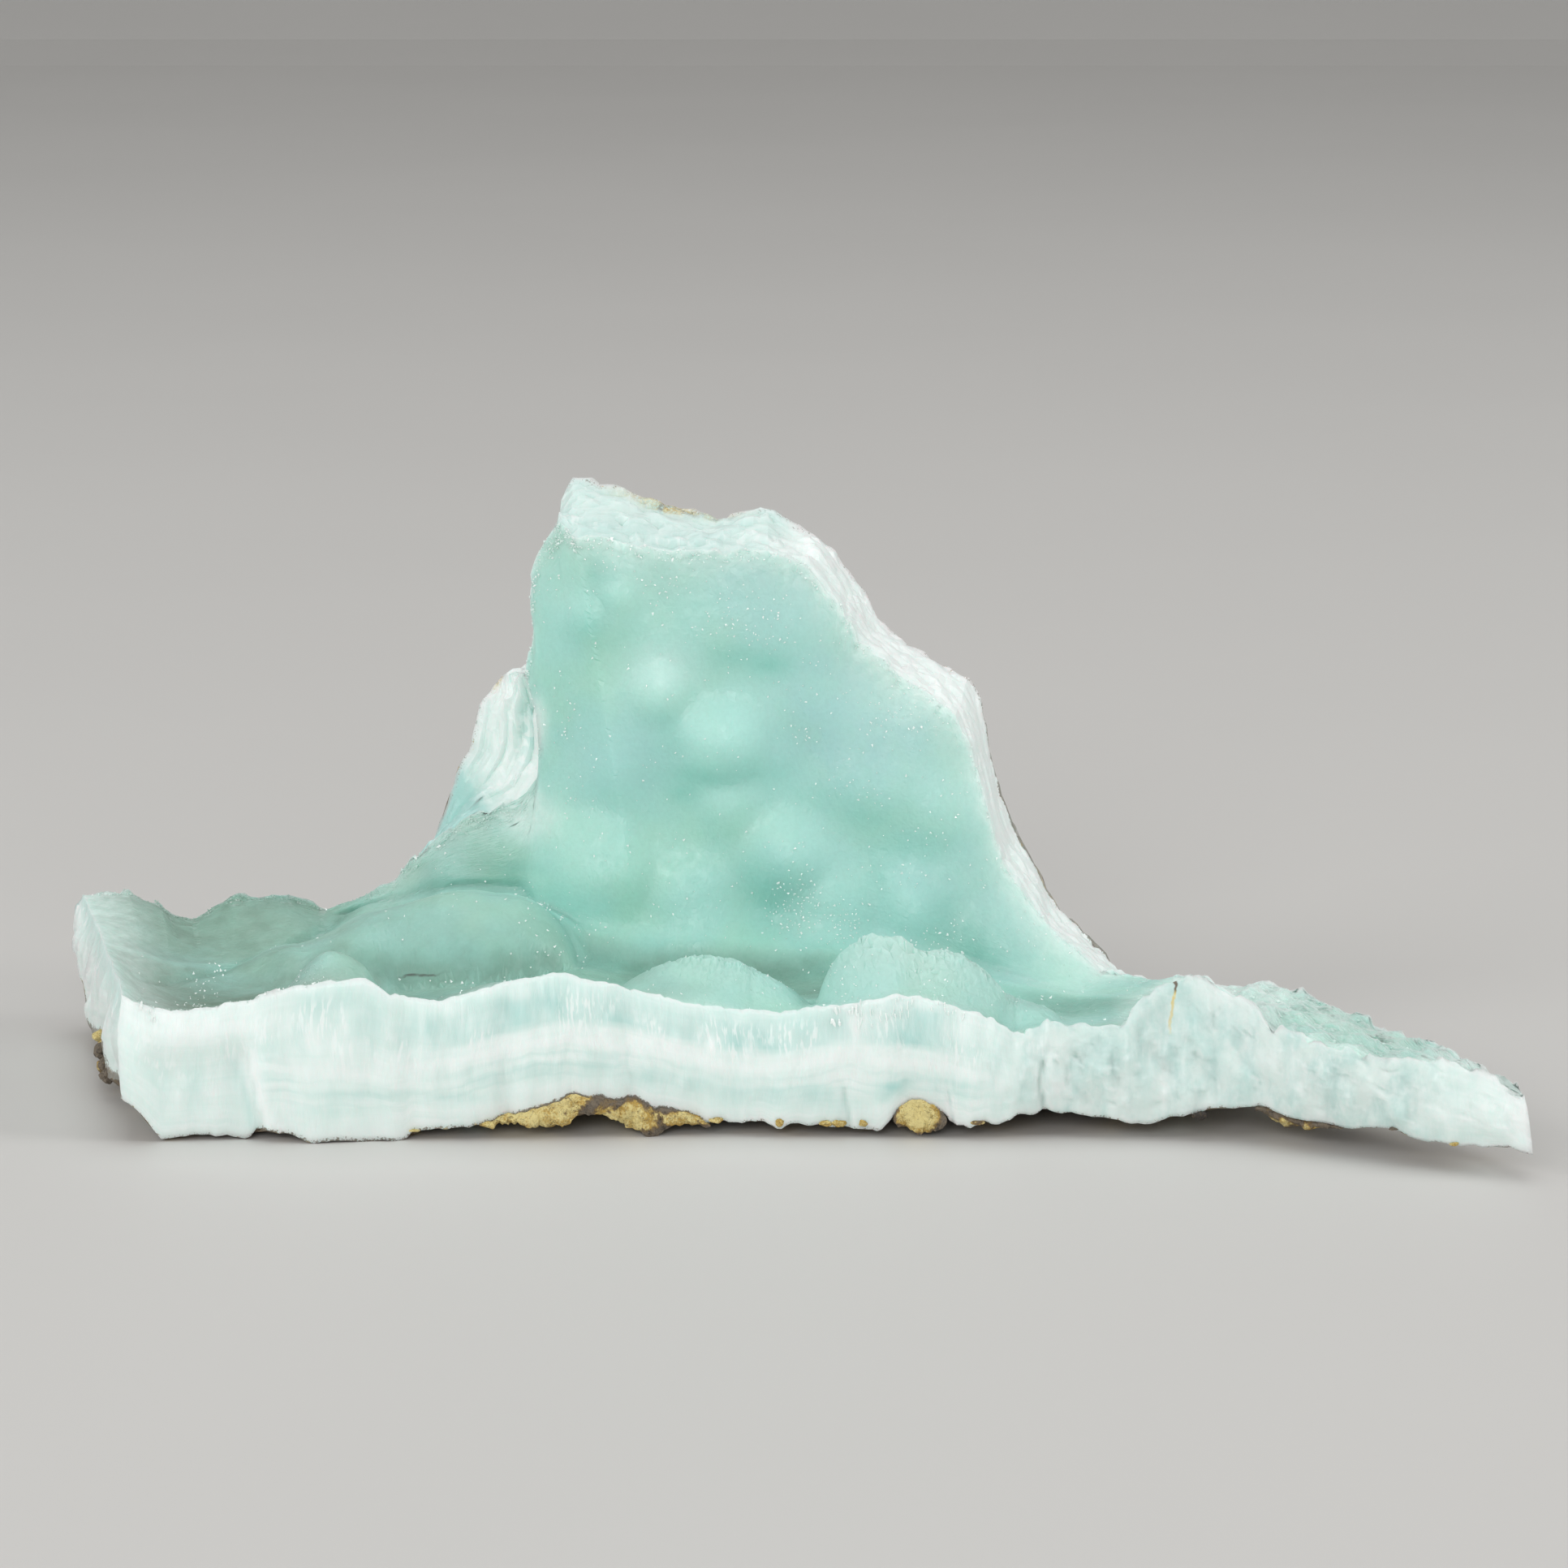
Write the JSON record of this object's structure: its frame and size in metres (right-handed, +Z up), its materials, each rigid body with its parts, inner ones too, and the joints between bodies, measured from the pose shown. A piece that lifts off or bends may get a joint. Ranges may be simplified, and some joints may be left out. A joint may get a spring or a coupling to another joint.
{
  "type": "mineral specimen",
  "caption": "Bent crust of pale blue fibrous aragonite: a flat base, a standing wall with a sparkling drusy face and a thin tapering tail, on remnants of brown host rock.",
  "frame": {"origin": "middle of the footprint of the piece's bounding box, on the plane it rests on", "axes": "+X from the thick left end of the crust towards the tip of its tail, +Y from the broken front edge towards the back of the wall, +Z up the standing wall"},
  "size_m": [0.1028, 0.043, 0.0415],
  "materials": {
    "aragonite": "silky fibrous fractures, glassy sparkling druse inside, thin dark film on the rock side",
    "host_rock": "dull and earthy, brown to ochre yellow"
  },
  "bodies": {
    "root": {"aragonite_crust": "aragonite", "host_rock_front": "host_rock", "host_rock_right": "host_rock", "host_rock_tail": "host_rock", "host_rock_corner": "host_rock"}
  },
  "joints": []
}
